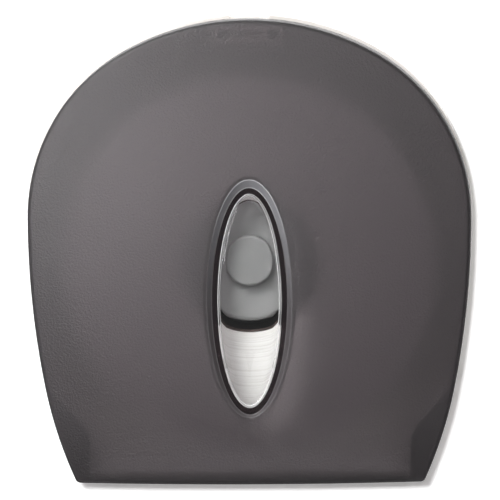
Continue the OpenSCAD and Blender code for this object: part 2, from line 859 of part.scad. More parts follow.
module lock_case_screws() {
    color(steel) for (x = [-case_screw_x, case_screw_x]) {
        bar(case_screw_r, case_back, case_back + case_screw_l - root, x, pivot_z);
        bar(2 * case_screw_r, case_back - case_screw_r, case_back, x, pivot_z);
    }
}

module latch_pivot_pin() {
    half = case_rib_w / 2 + case_t / 2;
    color(steel) pin(pivot_r, -half, half, pivot_y, pivot_z);
}

module latch_lever() {
    color(pale) difference() {
        union() {
            block(lever_w, hook_back, pivot_y, arm_low, arm_top);
            block(lever_w, hook_back, button_front, arm_low, hook_top);
            pin(lever_boss_r, -lever_w / 2, lever_w / 2, pivot_y, pivot_z);
        }
        pin(pivot_r + pin_clearance, -lever_w, lever_w, pivot_y, pivot_z);
    }
}

// A torsion spring: a coil on the pivot pin beside the lever, with one leg under the lever's arm.
module latch_spring() {
    wire_r = wire_d / 2;
    coil_r = pivot_r + wire_r + 3 * pin_clearance;
    pitch = wire_d * 1.25;
    steps = 16;
    sides = 6;
    x0 = lever_w / 2 + wire_d;
    n = wire_turns * steps;
    rings = [for (i = [0:n]) let (a = 360 * i / steps)
        [for (j = [0:sides - 1]) let (b = 360 * j / sides, r = coil_r + wire_r * cos(b))
            [x0 + pitch * i / steps + wire_r * sin(b), -pivot_y + r * cos(a), pivot_z + r * sin(a)]]];
    points = [for (r = rings, p = r) p];
    side_faces = [for (i = [0:n - 1], j = [0:sides - 1])
        let (a = i * sides + j, b = i * sides + (j + 1) % sides, c = b + sides, d = a + sides)
        each [[a, b, c], [a, c, d]]];
    ends = [[for (j = [sides - 1:-1:0]) j], [for (j = [0:sides - 1]) n * sides + j]];
    color(steel) polyhedron(points, concat(side_faces, ends), convexity = 10);
}

module release_button() {
    wing_low = wing_top - wing_t;
    skirt_w = (button_w - lever_w) / 2 - hook_gap;
    color(pale) union() {
        block(button_w, button_back, button_front, hook_top + button_gap, thumb_floor + button_proud);
        // Skirts beside the hook, with the wings that keep the button in.
        for (s = [-1, 1]) {
            block(skirt_w, button_back, button_front, wing_low, thumb_floor,
                  s * (button_w - skirt_w) / 2);
            block(wing_w + root, button_back, button_front, wing_low, wing_top,
                  s * (button_w + wing_w - root) / 2);
        }
        // The foot that stands on its spring.
        block(leaf_w, button_back, button_back + foot_l, leaf_top + button_gap, thumb_floor);
    }
}

back_housing();
spindle_post();
spindle_screws();
core_hub();
hub_bush();
hub_cap();
axle_washer();
axle_screw();
roll_core();
paper_roll();
hinge_pin_left();
hinge_pin_right();
front_cover();
window_lens();
tear_bar();
tear_bar_rivets();
lock_case();
lock_case_screws();
latch_lever();
latch_pivot_pin();
latch_spring();
release_button();
button_spring();
button_spring_screw();
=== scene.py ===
import math

import bmesh
import bpy
from mathutils import Matrix, Quaternion, Vector


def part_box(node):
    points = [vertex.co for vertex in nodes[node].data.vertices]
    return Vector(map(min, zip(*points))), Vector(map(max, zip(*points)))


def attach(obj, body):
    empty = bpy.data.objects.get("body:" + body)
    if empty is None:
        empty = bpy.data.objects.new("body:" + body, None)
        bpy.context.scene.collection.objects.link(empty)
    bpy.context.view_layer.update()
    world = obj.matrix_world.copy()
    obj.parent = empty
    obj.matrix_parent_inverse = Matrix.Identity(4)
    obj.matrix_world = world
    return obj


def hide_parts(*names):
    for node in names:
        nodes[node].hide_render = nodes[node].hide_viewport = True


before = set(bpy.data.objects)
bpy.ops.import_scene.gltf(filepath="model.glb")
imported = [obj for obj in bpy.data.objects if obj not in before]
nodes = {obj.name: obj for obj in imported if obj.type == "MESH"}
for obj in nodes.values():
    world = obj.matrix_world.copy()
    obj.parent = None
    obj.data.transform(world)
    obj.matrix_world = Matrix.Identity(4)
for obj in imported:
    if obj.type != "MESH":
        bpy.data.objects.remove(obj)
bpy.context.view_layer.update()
scene = bpy.context.scene

# ---- Camera ----------------------------------------------------------------------------------------
# The photograph was taken with a long lens from almost straight ahead, a little above the middle.
# Sizes in this script are in millimetres, and mm turns them into metres.

mm = 0.001
view_distance = 5600
view_rise = math.radians(2.4)
view_side = math.radians(0.6)
view_roll = math.radians(-0.25)
frame_width = 304.9
frame_middle = Vector((0, -92, -8.1)) * mm

camera_data = bpy.data.cameras.new("camera")
camera_data.sensor_width = 36
camera_data.lens = camera_data.sensor_width * view_distance / frame_width
camera = bpy.data.objects.new("camera", camera_data)
scene.collection.objects.link(camera)
outward = Vector((math.sin(view_side) * math.cos(view_rise),
                  -math.cos(view_side) * math.cos(view_rise), math.sin(view_rise)))
camera.location = frame_middle + outward * view_distance * mm
camera.rotation_mode = "QUATERNION"
camera.rotation_quaternion = outward.to_track_quat("Z", "Y") @ Quaternion((0, 0, 1), view_roll)
scene.camera = camera
scene.view_settings.view_transform = "Standard"


# ---- Room ------------------------------------------------------------------------------------------
# A white wall that the dispenser hangs on and a pale floor far below it. Neither hides the dispenser
# from behind or from below: their backs let the view through.

class Shade:
    """A value in a material's nodes, so that shader maths reads as arithmetic."""

    def __init__(self, tree, socket=None):
        self.tree = tree
        self.socket = socket

    def node(self, kind, inputs=None, out=0, **settings):
        """Adds a node: its settings first, then its inputs by name or number."""
        made = self.tree.nodes.new("ShaderNode" + kind)
        for name, value in settings.items():
            setattr(made, name, value)
        for name, value in (inputs or {}).items():
            if isinstance(value, Shade):
                self.tree.links.new(value.socket, made.inputs[name])
            else:
                made.inputs[name].default_value = value
        return Shade(self.tree, made.outputs[out] if made.outputs else None)

    def maths(self, operation, *values):
        return self.node("Math", dict(enumerate(values)), operation=operation)

    def __add__(self, other):
        return self.maths("ADD", self, other)

    def __radd__(self, other):
        return self.maths("ADD", other, self)

    def __sub__(self, other):
        return self.maths("SUBTRACT", self, other)

    def __rsub__(self, other):
        return self.maths("SUBTRACT", other, self)

    def __mul__(self, other):
        return self.maths("MULTIPLY", self, other)

    def __rmul__(self, other):
        return self.maths("MULTIPLY", other, self)

    def __pow__(self, other):
        return self.maths("POWER", self, other)

    def largest(self, other):
        return self.maths("MAXIMUM", self, other)

    def band(self, low, high):
        """0 below low, 1 above high, and smooth between them."""
        return self.node("MapRange", {0: self, 1: low, 2: high}, interpolation_type="SMOOTHSTEP")

    def tint(self, low, high):
        """A colour from low, where this value is 0, to high, where it is 1."""
        return self.node("Mix", {0: self, 6: (*low, 1), 7: (*high, 1)}, out=2, data_type="RGBA")


def start_finish(name):
    """A new material with no nodes yet, and the start of its shader maths."""
    made = bpy.data.materials.new(name + "_finish")
    made.use_nodes = True
    made.node_tree.nodes.clear()
    return made, Shade(made.node_tree)


def show(shader, kind="OutputMaterial"):
    shader.node(kind, {0: shader})


wall_white = (1.0, 1.0, 1.0)
floor_white = (0.86, 0.86, 0.86)


def room_finish(name, colour, glow, lift=0.0):
    """Matt paint that the camera sees lifted towards white, and that shows nothing from its back."""
    made, shade = start_finish(name)
    paint = shade.node("BsdfDiffuse", {"Color": (*colour, 1)})
    light = shade.node("Emission", {"Color": (1, 1, 1, 1), "Strength": glow})
    front = shade.node("AddShader", {0: paint, 1: light})
    if lift > 0:
        white = shade.node("Emission", {"Color": (1, 1, 1, 1), "Strength": 1.0})
        seen = shade.node("LightPath", out="Is Camera Ray")
        front = shade.node("MixShader", {0: seen * lift, 1: front, 2: white})
    back = shade.node("NewGeometry", out="Backfacing")
    clear = shade.node("BsdfTransparent", {"Color": (1, 1, 1, 1)})
    show(shade.node("MixShader", {0: back, 1: front, 2: clear}))
    return made


def room_plane(name, size, place, turn, finish):
    bm = bmesh.new()
    bmesh.ops.create_grid(bm, x_segments=4, y_segments=4, size=size / 2 * mm)
    bmesh.ops.rotate(bm, verts=bm.verts, matrix=Matrix.Rotation(turn, 3, "X"))
    bmesh.ops.translate(bm, verts=bm.verts, vec=Vector(place) * mm)
    mesh = bpy.data.meshes.new(name)
    bm.to_mesh(mesh)
    bm.free()
    mesh.materials.append(finish)
    made = bpy.data.objects.new(name, mesh)
    scene.collection.objects.link(made)
    return made


wall_paint = room_finish("wall_paint", wall_white, 0.12)
wall = room_plane("wall", 2400, (0, 0.6, 0), math.pi / 2, wall_paint)
wall.visible_diffuse = False
wall.visible_glossy = False
wall.visible_shadow = False
floor_paint = room_finish("floor_paint", floor_white, 0.15, 0.9)
room_plane("floor", 24000, (0, 0, -1300), 0, floor_paint)

# The room round them is white where the camera sees it, also through the lens. In a polished surface
# it is white behind the dispenser and dim in front of it, and it lights matt surfaces only faintly.
fill_light = 0.08
front_room = 0.24
world = bpy.data.worlds.new("room")
scene.world = world
world.use_nodes = True
world.node_tree.nodes.clear()
shade = Shade(world.node_tree)
seen = shade.node("LightPath", out="Is Camera Ray")
scattered = shade.node("LightPath", out="Diffuse Depth") + shade.node("LightPath", out="Glossy Depth")
unscattered = 1 - shade.maths("MINIMUM", scattered, 1)
passed = shade.node("LightPath", out="Is Transmission Ray") * unscattered
mirrored = shade.node("LightPath", out="Is Glossy Ray")
way = shade.node("TexCoord", out="Generated")
behind = shade.node("SeparateXYZ", {0: way}, out="Y").band(0.0, 0.3)
in_gloss = front_room + behind * (1 - front_room)
shine = seen.largest(passed)
light = shine + (1 - shine) * (mirrored * in_gloss + (1 - mirrored) * fill_light)
show(shade.node("Background", {"Color": (1, 1, 1, 1), "Strength": light}), "OutputWorld")


def lamp(name, side, rise, distance, width, height, watts, lights):
    """A soft box that looks at the dispenser; side and rise are its angles from straight ahead."""
    data = bpy.data.lights.new(name, "AREA")
    data.shape = "RECTANGLE"
    data.size = width * mm
    data.size_y = height * mm
    data.energy = watts
    made = bpy.data.objects.new(name, data)
    scene.collection.objects.link(made)
    side, rise = math.radians(side), math.radians(rise)
    way = Vector((math.sin(side) * math.cos(rise), -math.cos(side) * math.cos(rise), math.sin(rise)))
    made.location = way * distance * mm
    made.rotation_mode = "QUATERNION"
    made.rotation_quaternion = way.to_track_quat("Z", "Y")
    made.visible_camera = False
    made.light_linking.receiver_collection = lights


# One small lamp lights the wall alone, so that the wall shows a narrow shadow to the right and below.
# Two light only the cover and one only the tray's right side; the others light all but the wall.
wall_only = bpy.data.collections.new("wall_only")
wall_only.objects.link(wall)
all_but_wall = bpy.data.collections.new("all_but_wall")
all_but_wall.objects.link(wall)
all_but_wall.collection_objects[0].light_linking.link_state = "EXCLUDE"
cover_only = bpy.data.collections.new("cover_only")
tray_only = bpy.data.collections.new("tray_only")

lamp("wall_lamp", -1.2, 4.0, 6000, 160, 160, 320, wall_only)
lamp("key", -26, 8, 480, 150, 140, 0.58, all_but_wall)
lamp("face_key", -26, 8, 480, 150, 140, 0.22, cover_only)
lamp("upper_left", -30, 37, 1300, 400, 400, 11.0, all_but_wall)
lamp("front_box", 8, 20, 1300, 500, 500, 1.3, all_but_wall)
lamp("face_box", 8, 20, 1300, 500, 500, 1.2, cover_only)
lamp("left_high", -75, 50, 1300, 500, 500, 3.2, all_but_wall)
lamp("left_low", -75, -20, 1300, 500, 500, 1.1, all_but_wall)
lamp("top_box", 0, 82, 1300, 500, 500, 1.5, all_but_wall)
lamp("back_box", 180, 10, 1600, 900, 900, 8, all_but_wall)
lamp("right_box", 70, 20, 1300, 500, 500, 9, tray_only)


# ---- Back housing ----------------------------------------------------------------------------------
# The tray on the wall: one moulding in warm off-white plastic, screwed to the wall through its back.
# Every edge has a small radius from the mould.

flat_angle = math.radians(0.4)
sharp_angle = math.radians(30)
crease_angle = math.radians(40)


def softened(name, radius):
    """A copy of a CAD node: its doubles merged, its flat faces joined, its sharp edges rounded."""
    bm = bmesh.new()
    bm.from_mesh(nodes[name].data)
    bmesh.ops.remove_doubles(bm, verts=bm.verts, dist=1e-6)
    bmesh.ops.dissolve_limit(bm, angle_limit=flat_angle, use_dissolve_boundaries=False,
                             verts=bm.verts, edges=bm.edges, delimit=set())
    sharp = [e for e in bm.edges if len(e.link_faces) == 2 and e.calc_face_angle() > sharp_angle]
    bmesh.ops.bevel(bm, geom=sharp, offset=radius * mm, offset_type="OFFSET", segments=2,
                    profile=0.5, affect="EDGES", material=-1, clamp_overlap=True)
    return bm


def piece(name, bm, finishes, body, stands_for):
    """Makes a finished mesh a piece of the object: its finishes, its body and what it replaces."""
    mesh = bpy.data.meshes.new(name)
    bm.to_mesh(mesh)
    bm.free()
    for finish in finishes:
        mesh.materials.append(finish)
    mesh.polygons.foreach_set("use_smooth", [True] * len(mesh.polygons))
    mesh.set_sharp_from_angle(angle=crease_angle)
    made = bpy.data.objects.new(name, mesh)
    scene.collection.objects.link(made)
    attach(made, body)
    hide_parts(*stands_for)
    return made


def plastic(name, dark, light, rough):
    """Moulded plastic: clouds of two near colours, a fine satin grain and uneven polish."""
    made, shade = start_finish(name)
    place = shade.node("TexCoord", out="Object")
    clouds = shade.node("TexNoise", {"Vector": place, "Scale": 22.0, "Detail": 3.0})
    fine = shade.node("TexNoise", {"Vector": place, "Scale": 1600.0, "Detail": 2.0})
    bump = shade.node("Bump", {"Height": fine, "Strength": 0.3, "Distance": 0.00005})
    show(shade.node("BsdfPrincipled", {
        "Base Color": clouds.band(0.3, 0.7).tint(dark, light),
        "Roughness": rough + fine * 0.08 + clouds * 0.06, "Normal": bump}))
    return made


housing_plastic = plastic("housing_plastic", (0.80, 0.76, 0.72), (0.84, 0.80, 0.76), 0.34)
tray_only.objects.link(piece("tray", softened("back_housing", 0.35), [housing_plastic], "housing",
                             ["back_housing"]))


# ---- Small CAD parts -------------------------------------------------------------------------------
# Nodes whose shape is right keep it, and get a finish and smooth shading. The moulded ones are copies
# with their edges softened.

def steel(name, colour, rough):
    """Plated or drawn steel, with fine lines and faint clouds."""
    made, shade = start_finish(name)
    place = shade.node("TexCoord", out="Object")
    clouds = shade.node("TexNoise", {"Vector": place, "Scale": 180.0, "Detail": 4.0})
    darker = tuple(c * 0.82 for c in colour)
    show(shade.node("BsdfPrincipled", {
        "Base Color": clouds.tint(darker, colour), "Metallic": 1.0,
        "Roughness": rough + clouds * 0.15}))
    return made


zinc_steel = steel("zinc_steel", (0.70, 0.71, 0.72), 0.28)
bright_steel = steel("bright_steel", (0.75, 0.76, 0.77), 0.16)
grey_plastic = plastic("grey_plastic", (0.25, 0.25, 0.247), (0.285, 0.285, 0.28), 0.34)
# The cap is the hub's grey plastic painted darker, as painted shade, because it stands proud and
# catches more light.
cap_plastic_painted_shade = plastic("cap_plastic_painted_shade", (0.195, 0.195, 0.193), (0.22, 0.22, 0.216), 0.34)
black_plastic = plastic("black_plastic", (0.022, 0.022, 0.024), (0.035, 0.035, 0.037), 0.38)

kept = {
    "spindle_screws": zinc_steel, "axle_washer": zinc_steel, "axle_screw": zinc_steel,
    "tear_bar_rivets": zinc_steel, "lock_case_screws": zinc_steel,
    "button_spring_screw": zinc_steel, "hinge_pin_left": bright_steel,
    "hinge_pin_right": bright_steel, "latch_pivot_pin": bright_steel,
    "latch_spring": bright_steel, "button_spring": bright_steel, "hub_bush": black_plastic,
}
for name, finish in kept.items():
    node = nodes[name]
    node.data.materials.clear()
    node.data.materials.append(finish)
    node.data.polygons.foreach_set("use_smooth", [True] * len(node.data.polygons))
    weld = node.modifiers.new("weld", "WELD")
    weld.merge_threshold = 1e-6
    split = node.modifiers.new("split", "EDGE_SPLIT")
    split.split_angle = math.radians(35)

for name, radius, finish, body, slot in (
        ("spindle_post", 0.5, grey_plastic, "housing", "grey_plastic"),
        ("core_hub", 0.5, grey_plastic, "hub", "grey_plastic"),
        ("hub_cap", 0.3, cap_plastic_painted_shade, "hub", "grey_plastic"),
        ("tear_bar", 0.2, black_plastic, "cover", "black_plastic"),
        ("lock_case", 0.25, housing_plastic, "cover", "housing_plastic"),
        ("latch_lever", 0.3, housing_plastic, "latch", "housing_plastic"),
        ("release_button", 0.3, housing_plastic, "button", "housing_plastic")):
    piece(name + "_soft", softened(name, radius), [finish], body, [name])


# ---- Paper roll ------------------------------------------------------------------------------------
# Soft tissue wound on a board core. Its ends show the edges of the wound sheets as fine rings.

def cad_corners(name):
    """The lowest and the highest corner of a CAD node, in millimetres."""
    return [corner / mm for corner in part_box(name)]


roll_low, roll_high = cad_corners("paper_roll")
roll_z = (roll_low.z + roll_high.z) / 2
roll_r = (roll_high.z - roll_low.z) / 2
roll_back, roll_front = -roll_high.y, -roll_low.y
core_low, core_high = cad_corners("roll_core")
core_t = 1.5
inner = (core_high.z - core_low.z) / 2
core_r = inner - core_t
core_set_back = 1.0


def turned(points):
    """Spins a closed line of (radius, distance from the wall) points round the roll's own axis."""
    bm = bmesh.new()
    corners = [bm.verts.new(Vector((r, -d, roll_z)) * mm) for r, d in points]
    edges = [bm.edges.new((a, b)) for a, b in zip(corners, corners[1:] + corners[:1])]
    bmesh.ops.spin(bm, geom=corners + edges, cent=Vector((0, 0, roll_z)) * mm, axis=(0, 1, 0),
                   dvec=(0, 0, 0), angle=2 * math.pi, steps=160, use_merge=True)
    bmesh.ops.remove_doubles(bm, verts=bm.verts, dist=1e-7)
    bmesh.ops.recalc_face_normals(bm, faces=bm.faces)
    return bm


def paper_finish():
    made, shade = start_finish("tissue_paper")
    place = shade.node("TexCoord", out="Object")
    parts = [shade.node("SeparateXYZ", {0: place}, out=axis) for axis in "XYZ"]
    rise = parts[2] - roll_z * mm
    radius = (parts[0] * parts[0] + rise * rise) ** 0.5
    ring = shade.node("CombineXYZ", {0: radius * 900.0, 1: parts[0] * 14.0, 2: rise * 14.0})
    lines = shade.node("TexNoise", {"Vector": ring, "Scale": 1.0, "Detail": 3.0, "Roughness": 0.7})
    soft = shade.node("TexNoise", {"Vector": place, "Scale": 60.0, "Detail": 3.0})
    bump = shade.node("Bump", {"Height": lines, "Strength": 0.5, "Distance": 0.0004})
    layers = lines.band(0.25, 0.60) * (0.8 + soft * 0.3)
    show(shade.node("BsdfPrincipled", {
        "Base Color": layers.tint((0.74, 0.72, 0.68), (0.93, 0.92, 0.89)),
        "Roughness": 0.9, "Specular IOR Level": 0.2, "Sheen Weight": 0.3, "Normal": bump}))
    return made


edge = 1.2
corner = 0.3
paper_line = ((inner, roll_back), (roll_r - edge, roll_back), (roll_r - corner, roll_back + corner),
              (roll_r, roll_back + edge), (roll_r, roll_front - edge),
              (roll_r - corner, roll_front - corner), (roll_r - edge, roll_front),
              (inner, roll_front))
piece("paper", turned(paper_line), [paper_finish()], "roll", ["paper_roll"])


# The board is painted near-black brown: painted shade, for the core lies in shadow inside the roll.
def board_painted_shade_finish():
    made, shade = start_finish("core_board")
    place = shade.node("TexCoord", out="Object")
    fibres = shade.node("TexNoise", {"Vector": place, "Scale": 420.0, "Detail": 5.0})
    bump = shade.node("Bump", {"Height": fibres, "Strength": 0.3, "Distance": 0.0002})
    show(shade.node("BsdfPrincipled", {
        "Base Color": fibres.band(0.3, 0.7).tint((0.04, 0.025, 0.022), (0.06, 0.038, 0.033)),
        "Roughness": 0.85, "Normal": bump}))
    return made


core_front = roll_front - core_set_back
core_line = ((core_r, roll_back), (inner, roll_back), (inner, core_front), (core_r, core_front))
piece("core", turned(core_line), [board_painted_shade_finish()], "roll", ["roll_core"])


# ---- Cover -----------------------------------------------------------------------------------------
# The drop-down cover: one moulding in smoke-grey plastic with a fine matt grain outside. Its outline
# is five arcs a side, each tangent to the next, and its face is a very flat dome.

cover_w = 270.2
cover_top = 133.3
cover_bottom = 149.7
crown_r = 158.0
shoulder_r = 114.7
side_r = 526.0
side_sweep = 11.4
foot_r = 259.0
corner_r = 4.0
bow_r = 4600.0
cover_back = 92.0
face_front = 136.5
face_r = 1300.0
face_z = -8.0
cover_t = 2.5
edge_r = 3.0
draft = math.radians(1.2)
floor_front = 132.6
flange_back = 112.0
flange_top = -140.0
lug_near = 97.2

# Ovals of the sight window: half width, half height, height of the middle.
recess = (25.8, 72.1, -36.0)
recess_floor = (23.1, 69.0, -37.6)
floor_middle = (21.4, 67.0, -37.5)
lens_hole = (19.65, 65.05, -37.4)


def circles_meet(a, ra, b, rb):
    """The lower right point at distance ra from a and rb from b."""
    d = (b - a).length
    u = (b - a) / d
    along = (d * d + ra * ra - rb * rb) / (2 * d)
    return a + along * u + math.sqrt(ra * ra - along * along) * Vector((u.y, -u.x))


def bearing(start, end):
    return math.degrees(math.atan2(end.y - start.y, end.x - start.x))


def toward(degrees):
    """A unit step in a direction, from the right and against the clock."""
    return Vector((math.cos(math.radians(degrees)), math.sin(math.radians(degrees))))


crown_c = Vector((0, cover_top - crown_r))
crown_turn = math.degrees(math.asin((cover_w / 2 - shoulder_r) / (crown_r - shoulder_r)))
shoulder_c = crown_c + (crown_r - shoulder_r) * toward(90 - crown_turn)
side_c = shoulder_c - Vector((side_r - shoulder_r, 0))
foot_c = side_c + (side_r - foot_r) * toward(-side_sweep)
bow_c = Vector((0, bow_r - cover_bottom))
corner_c = circles_meet(foot_c, foot_r - corner_r, bow_c, bow_r - corner_r)
foot_end = bearing(foot_c, corner_c)
corner_end = bearing(bow_c, corner_c)
slot_half = 0.3
slot_turns = [-90 + math.degrees((lug_near + s) / bow_r) for s in (slot_half, -slot_half)]
arcs = ((crown_c, 90, 90 - crown_turn, 14), (shoulder_c, 90 - crown_turn, 0, 34),
        (side_c, 0, -side_sweep, 12), (foot_c, -side_sweep, foot_end, 14),
        (corner_c, foot_end, corner_end, 6), (bow_c, corner_end, slot_turns[0], 2),
        (bow_c, slot_turns[0], slot_turns[1], 1), (bow_c, slot_turns[1], -90, 12))


def dome(x, z, front, middle, inset=0.0):
    """Distance from the wall of a dome over a point, inset below its surface."""
    return front - face_r + math.sqrt((face_r - inset) ** 2 - x * x - (z - middle) ** 2)


def face_at(x, z, inset=0.0):
    return dome(x, z, face_front, face_z, inset)


def floor_at(x, z, inset=0.0):
    return dome(x, z, floor_front, recess[2], inset)


def outline(depth):
    """A mesh that holds the cover's outline; each point knows its home and its way out."""
    bm = bmesh.new()
    home = bm.verts.layers.float_vector.new("home")
    away = bm.verts.layers.float_vector.new("away")
    last = bm.verts.new(Vector((0, -depth, cover_top)) * mm)
    last[away] = (0, 0, 1)
    for centre, start, end, steps in arcs:
        before = set(bm.verts)
        middle = Vector((centre.x, -depth, centre.y)) * mm
        spun = bmesh.ops.spin(bm, geom=[last], cent=middle, axis=(0, 1, 0), dvec=(0, 0, 0),
                              angle=math.radians(start - end), steps=steps)
        for v in set(bm.verts) - before:
            v[away] = (v.co - middle).normalized()
        last = spun["geom_last"][0]
    bmesh.ops.mirror(bm, geom=bm.verts[:] + bm.edges[:], matrix=Matrix.Identity(4), merge_dist=1e-6,
                     axis="X")
    bmesh.ops.remove_doubles(bm, verts=bm.verts, dist=1e-6)
    for v in bm.verts:
        if v.co.x < -1e-6:
            v[away] = (-abs(v[away].x), 0, v[away].z)
        v[home] = v.co / mm
    return bm, home, away


cover, home, away = outline(cover_back)
# Each point's share of the painted shade on the edge-on wall.
painted_edge_shade = cover.verts.layers.float.new("painted_edge_shade")


def oval(v, size, wider=0.0):
    """The point of an oval that faces an outline point."""
    turn = math.atan2(v[home].z - recess[2], v[home].x)
    return ((size[0] + wider) * math.cos(turn), size[2] + (size[1] + wider) * math.sin(turn))


def place_at(x, z, depth):
    return Vector((x, -depth, z)) * mm


def edge_circle(v):
    """Middle of the radius round the face's edge, with its distance from the wall."""
    p = v[home]
    lean = math.tan(draft) * (face_at(p.x, p.z, edge_r) - cover_back)
    c = p - (lean + edge_r) * v[away]
    return c, face_at(c.x, c.z, edge_r)


def edge_turn(v):
    """How far the radius turns before it meets the dome."""
    c, _ = edge_circle(v)
    return math.acos((c.x * v[away].x + (c.z - face_z) * v[away].z) / (face_r - edge_r))


def edge_point(v, share, radius):
    c, depth = edge_circle(v)
    turn = edge_turn(v) * share
    q = c + radius * math.cos(turn) * v[away]
    return q.x, q.z, depth + radius * math.sin(turn)


def back_of(v):
    """The cover's back edge, which stands back over the paper's way out at the bottom."""
    p = v[home]
    return flange_back if p.z < flange_top and abs(p.x) < lug_near else cover_back


def on_wall(v, share, inset=0.0):
    x, z, depth = edge_point(v, 0, edge_r - inset)
    p = v[home] - inset * v[away]
    d = back_of(v) + (depth - back_of(v)) * share
    t = (d - cover_back) / (depth - cover_back)
    return place_at(p.x + (x - p.x) * t, p.z + (z - p.z) * t, d)


def on_edge(v, share):
    return place_at(*edge_point(v, share, edge_r))


def on_face(v, share, inset=0.0):
    x, z, _ = edge_point(v, 1, edge_r - inset)
    ox, oz = oval(v, recess, inset)
    x, z = x + (ox - x) * share, z + (oz - z) * share
    return place_at(x, z, face_at(x, z, inset))


def on_floor(v, size, wider=0.0, inset=0.0):
    x, z = oval(v, size, wider)
    return place_at(x, z, floor_at(x, z, inset))


def grow(bm, ring, place, *numbers, slot=None, painted_shade_mark=None):
    """Extrudes a ring of edges and puts each new point where place says; returns the new ring.
    New faces take the finish of their neighbours unless a slot is given; a mark, where given,
    sets how much painted shade the new points take."""
    made = bmesh.ops.extrude_edge_only(bm, edges=ring)["geom"]
    new = {g for g in made if isinstance(g, bmesh.types.BMVert)}
    for v in new:
        v.co = place(v, *numbers)
        if painted_shade_mark is not None:
            v[painted_edge_shade] = painted_shade_mark
    ring = [g for g in made if isinstance(g, bmesh.types.BMEdge) and set(g.verts) <= new]
    if slot is not None:
        for e in ring:
            e.link_faces[0].material_index = slot
    return ring


# The wall is seen edge on from the front, through far more plastic than the face is, so its points
# are marked for painted shade: a deeper smoke colour, which runs out round the edge, and a near-black
# finish with little gloss on the outermost rings. Near its back edge it is lighter, because the pale
# tray stands close behind it.
matt, polished, slope, ridge, dark = range(5)
ring = first = cover.edges[:]
for v in cover.verts:
    v.co = on_wall(v, 0)
    v[painted_edge_shade] = 1
for share, mark, slot in ((0.03, 1, dark), (0.3, 0, matt), (0.4, 1, dark), (0.7, 1, dark),
                          (1, 1, dark)):
    ring = grow(cover, ring, on_wall, share, slot=slot, painted_shade_mark=mark)
edge_steps = 10
dark_steps = 2
for i in range(1, edge_steps + 1):
    mark = min(1, max(0, 2.1 - 3.6 * i / edge_steps))
    slot = dark if i <= dark_steps else matt
    ring = grow(cover, ring, on_edge, i / edge_steps, slot=slot, painted_shade_mark=mark)
face_steps = 16
for i in range(1, face_steps + 1):
    ring = grow(cover, ring, on_face, i / face_steps, painted_shade_mark=0)
rim = ring
ring = foot = grow(cover, ring, on_floor, recess_floor, slot=slope)
ring = grow(cover, ring, on_floor, floor_middle, slot=matt)
ring = grow(cover, ring, on_floor, lens_hole)
ring = grow(cover, ring, on_floor, lens_hole, 0, cover_t)
ring = grow(cover, ring, on_floor, recess_floor, cover_t, cover_t)
inside_steps = 6
for i in range(inside_steps, -1, -1):
    ring = grow(cover, ring, on_face, i / inside_steps, cover_t)
for share in (1, 0.66, 0.33, 0):
    ring = grow(cover, ring, on_wall, share, cover_t, painted_shade_mark=1)
bmesh.ops.bridge_loops(cover, edges=first + ring)
bmesh.ops.recalc_face_normals(cover, faces=cover.faces)
rounded = bmesh.ops.bevel(cover, geom=rim + foot, offset=0.35 * mm, offset_type="OFFSET", segments=3,
                          profile=0.5, affect="EDGES", material=-1, clamp_overlap=True)["faces"]
rim_round = 0.4
polish_w, polish_h = recess_floor[0] - rim_round, recess_floor[1] - rim_round
# Faces inside the recess floor take the polished finish, its smoke painted deeper as shade.
for f in cover.faces:
    c = f.calc_center_median() / mm
    if (c.x / polish_w) ** 2 + ((c.z - recess_floor[2]) / polish_h) ** 2 < 1:
        f.material_index = polished
# The rounded ridge and foot of the recess take the finish with a painted highlight.
for f in rounded:
    f.material_index = ridge


def show_clear(shade, skin, colour):
    """Shows a see-through skin that lets lamplight through tinted, so that it casts no black shadow."""
    let_through = shade.node("BsdfTransparent", {"Color": (*colour, 1)})
    lamp_ray = shade.node("LightPath", out="Is Shadow Ray")
    show(shade.node("MixShader", {0: lamp_ray, 1: skin, 2: let_through}))


def smoked(name, tint, painted_shade_tint, rough, body, grain, specular):
    """Smoke-grey plastic that blurs what is behind it; body is how much it hides by itself.
    It has painted shade: a deeper smoke colour where its points are marked for it, and a little
    towards the open foot."""
    made, shade = start_finish(name)
    place = shade.node("TexCoord", out="Object")
    mark = shade.node("Attribute", attribute_name="painted_edge_shade", out="Fac")
    foot = 1 - shade.node("SeparateXYZ", {0: place}, out="Z").band(-0.145, -0.105)
    fine = shade.node("TexNoise", {"Vector": place, "Scale": 800.0, "Detail": 2.0, "Roughness": 0.7})
    clouds = shade.node("TexNoise", {"Vector": place, "Scale": 30.0, "Detail": 2.0})
    bump = shade.node("Bump", {"Height": fine, "Strength": grain, "Distance": 0.0005})
    skin = shade.node("BsdfPrincipled", {
        "Base Color": (mark + foot * 0.3).tint(tint, painted_shade_tint), "Roughness": rough + clouds * 0.03,
        "IOR": 1.5, "Specular IOR Level": specular, "Transmission Weight": 1 - body, "Normal": bump})
    show_clear(shade, skin, [c ** 0.5 for c in tint])
    return made


def painted_sheen_finish(name, low_colour, top_sheen_colour, low, high):
    """Smooth smoke plastic with a painted sheen: its colour grows lighter towards the top
    of the recess.
    """
    made, shade = start_finish(name)
    place = shade.node("TexCoord", out="Object")
    height = shade.node("SeparateXYZ", {0: place}, out="Z").band(low, high)
    clouds = shade.node("TexNoise", {"Vector": place, "Scale": 120.0, "Detail": 2.0})
    skin = shade.node("BsdfPrincipled", {
        "Base Color": (height * (0.9 + clouds * 0.2)).tint(low_colour, top_sheen_colour),
        "Roughness": 0.25 + clouds * 0.1, "IOR": 1.5, "Transmission Weight": 0.3})
    show_clear(shade, skin, (0.4, 0.4, 0.4))
    return made


smoke = (0.20, 0.178, 0.190)
# The deeper smoke is painted shade, for the edge-on wall and the foot of the cover.
painted_shade_smoke = (0.018, 0.014, 0.016)
smoked_plastic = smoked("smoked_plastic", smoke, painted_shade_smoke, 0.36, 0.12, 0.9, 0.5)
